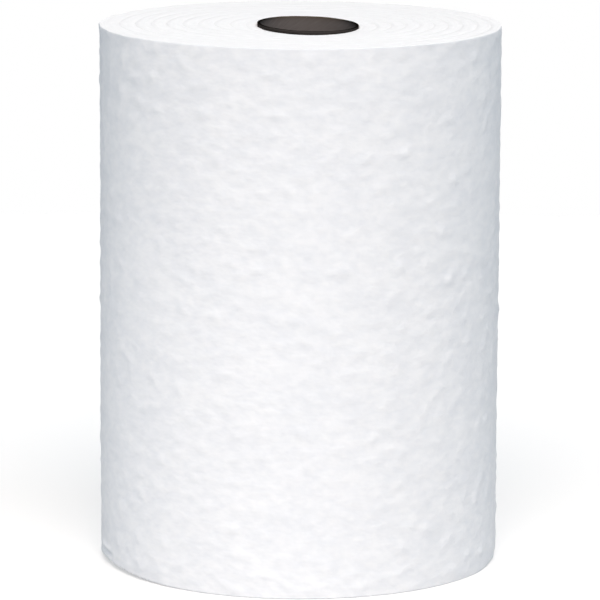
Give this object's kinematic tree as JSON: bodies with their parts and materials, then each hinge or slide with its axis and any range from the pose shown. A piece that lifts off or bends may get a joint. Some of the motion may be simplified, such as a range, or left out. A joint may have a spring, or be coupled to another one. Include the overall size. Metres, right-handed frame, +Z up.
{
  "type": "paper towel roll",
  "caption": "Hard-wound roll of white paper towel on a grey-brown paperboard core, standing on one end, with its turns marked on both ends.",
  "frame": {"origin": "middle of the end that the roll stands on, at the height of the surface under it", "axes": "+Z up the roll along its winding axis, -Y the side that the picture shows, +X to the right in the picture; the glued tail is at the back, towards +Y"},
  "size_m": [0.1508, 0.1509, 0.2044],
  "materials": {
    "towel_paper": "matte white absorbent paper with a fine crepe mottle, cut clean on both ends",
    "core_board": "matte dark grey-brown paperboard with a helical ply seam and a scorched, nearly black cut end"
  },
  "bodies": {
    "root": {"towel": "towel_paper", "core": "core_board"}
  },
  "joints": []
}
